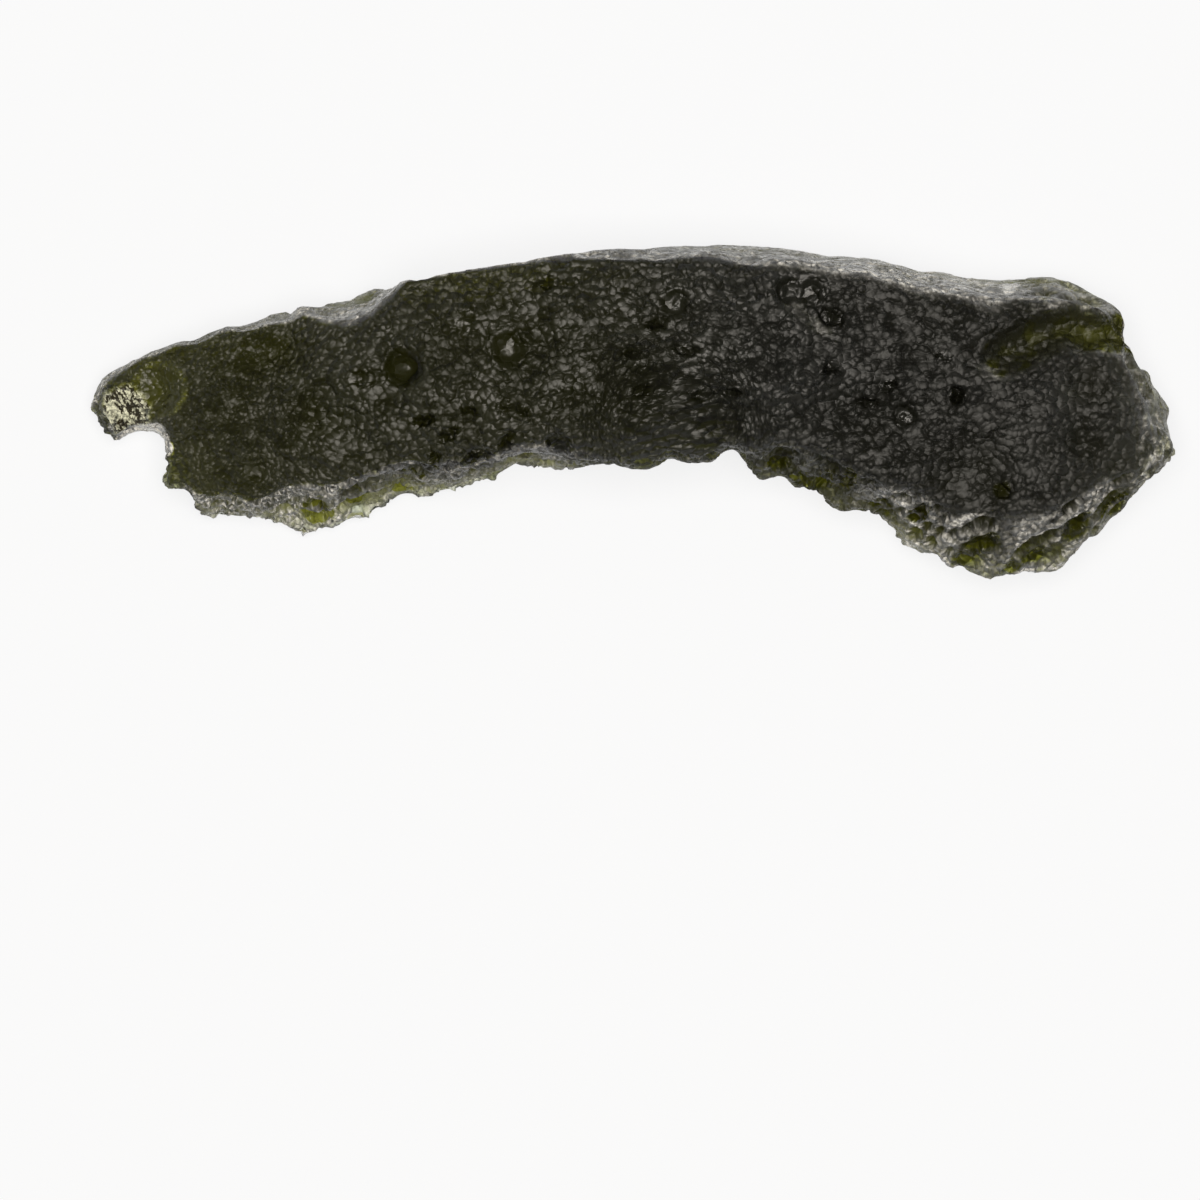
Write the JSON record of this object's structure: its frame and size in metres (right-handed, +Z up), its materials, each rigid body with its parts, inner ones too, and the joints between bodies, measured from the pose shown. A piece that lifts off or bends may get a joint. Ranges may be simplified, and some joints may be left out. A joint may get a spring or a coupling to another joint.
{
  "type": "moldavite",
  "caption": "Curved bar of natural bottle-green impact glass with a pitted, fissured skin, a hooked thin end and a broad rounded lobe, lying on its flattest side.",
  "frame": {"origin": "centre of the footprint's bounding box, on the surface that the stone lies on", "axes": "+X along the stone towards its broad end, +Y towards its long smooth back edge, +Z up"},
  "size_m": [0.0388, 0.0122, 0.006],
  "materials": {
    "moldavite_glass": "dark bottle-green natural glass, clear where thin, with a pitted lacquer-like skin"
  },
  "bodies": {
    "root": {"moldavite": "moldavite_glass"}
  },
  "joints": []
}
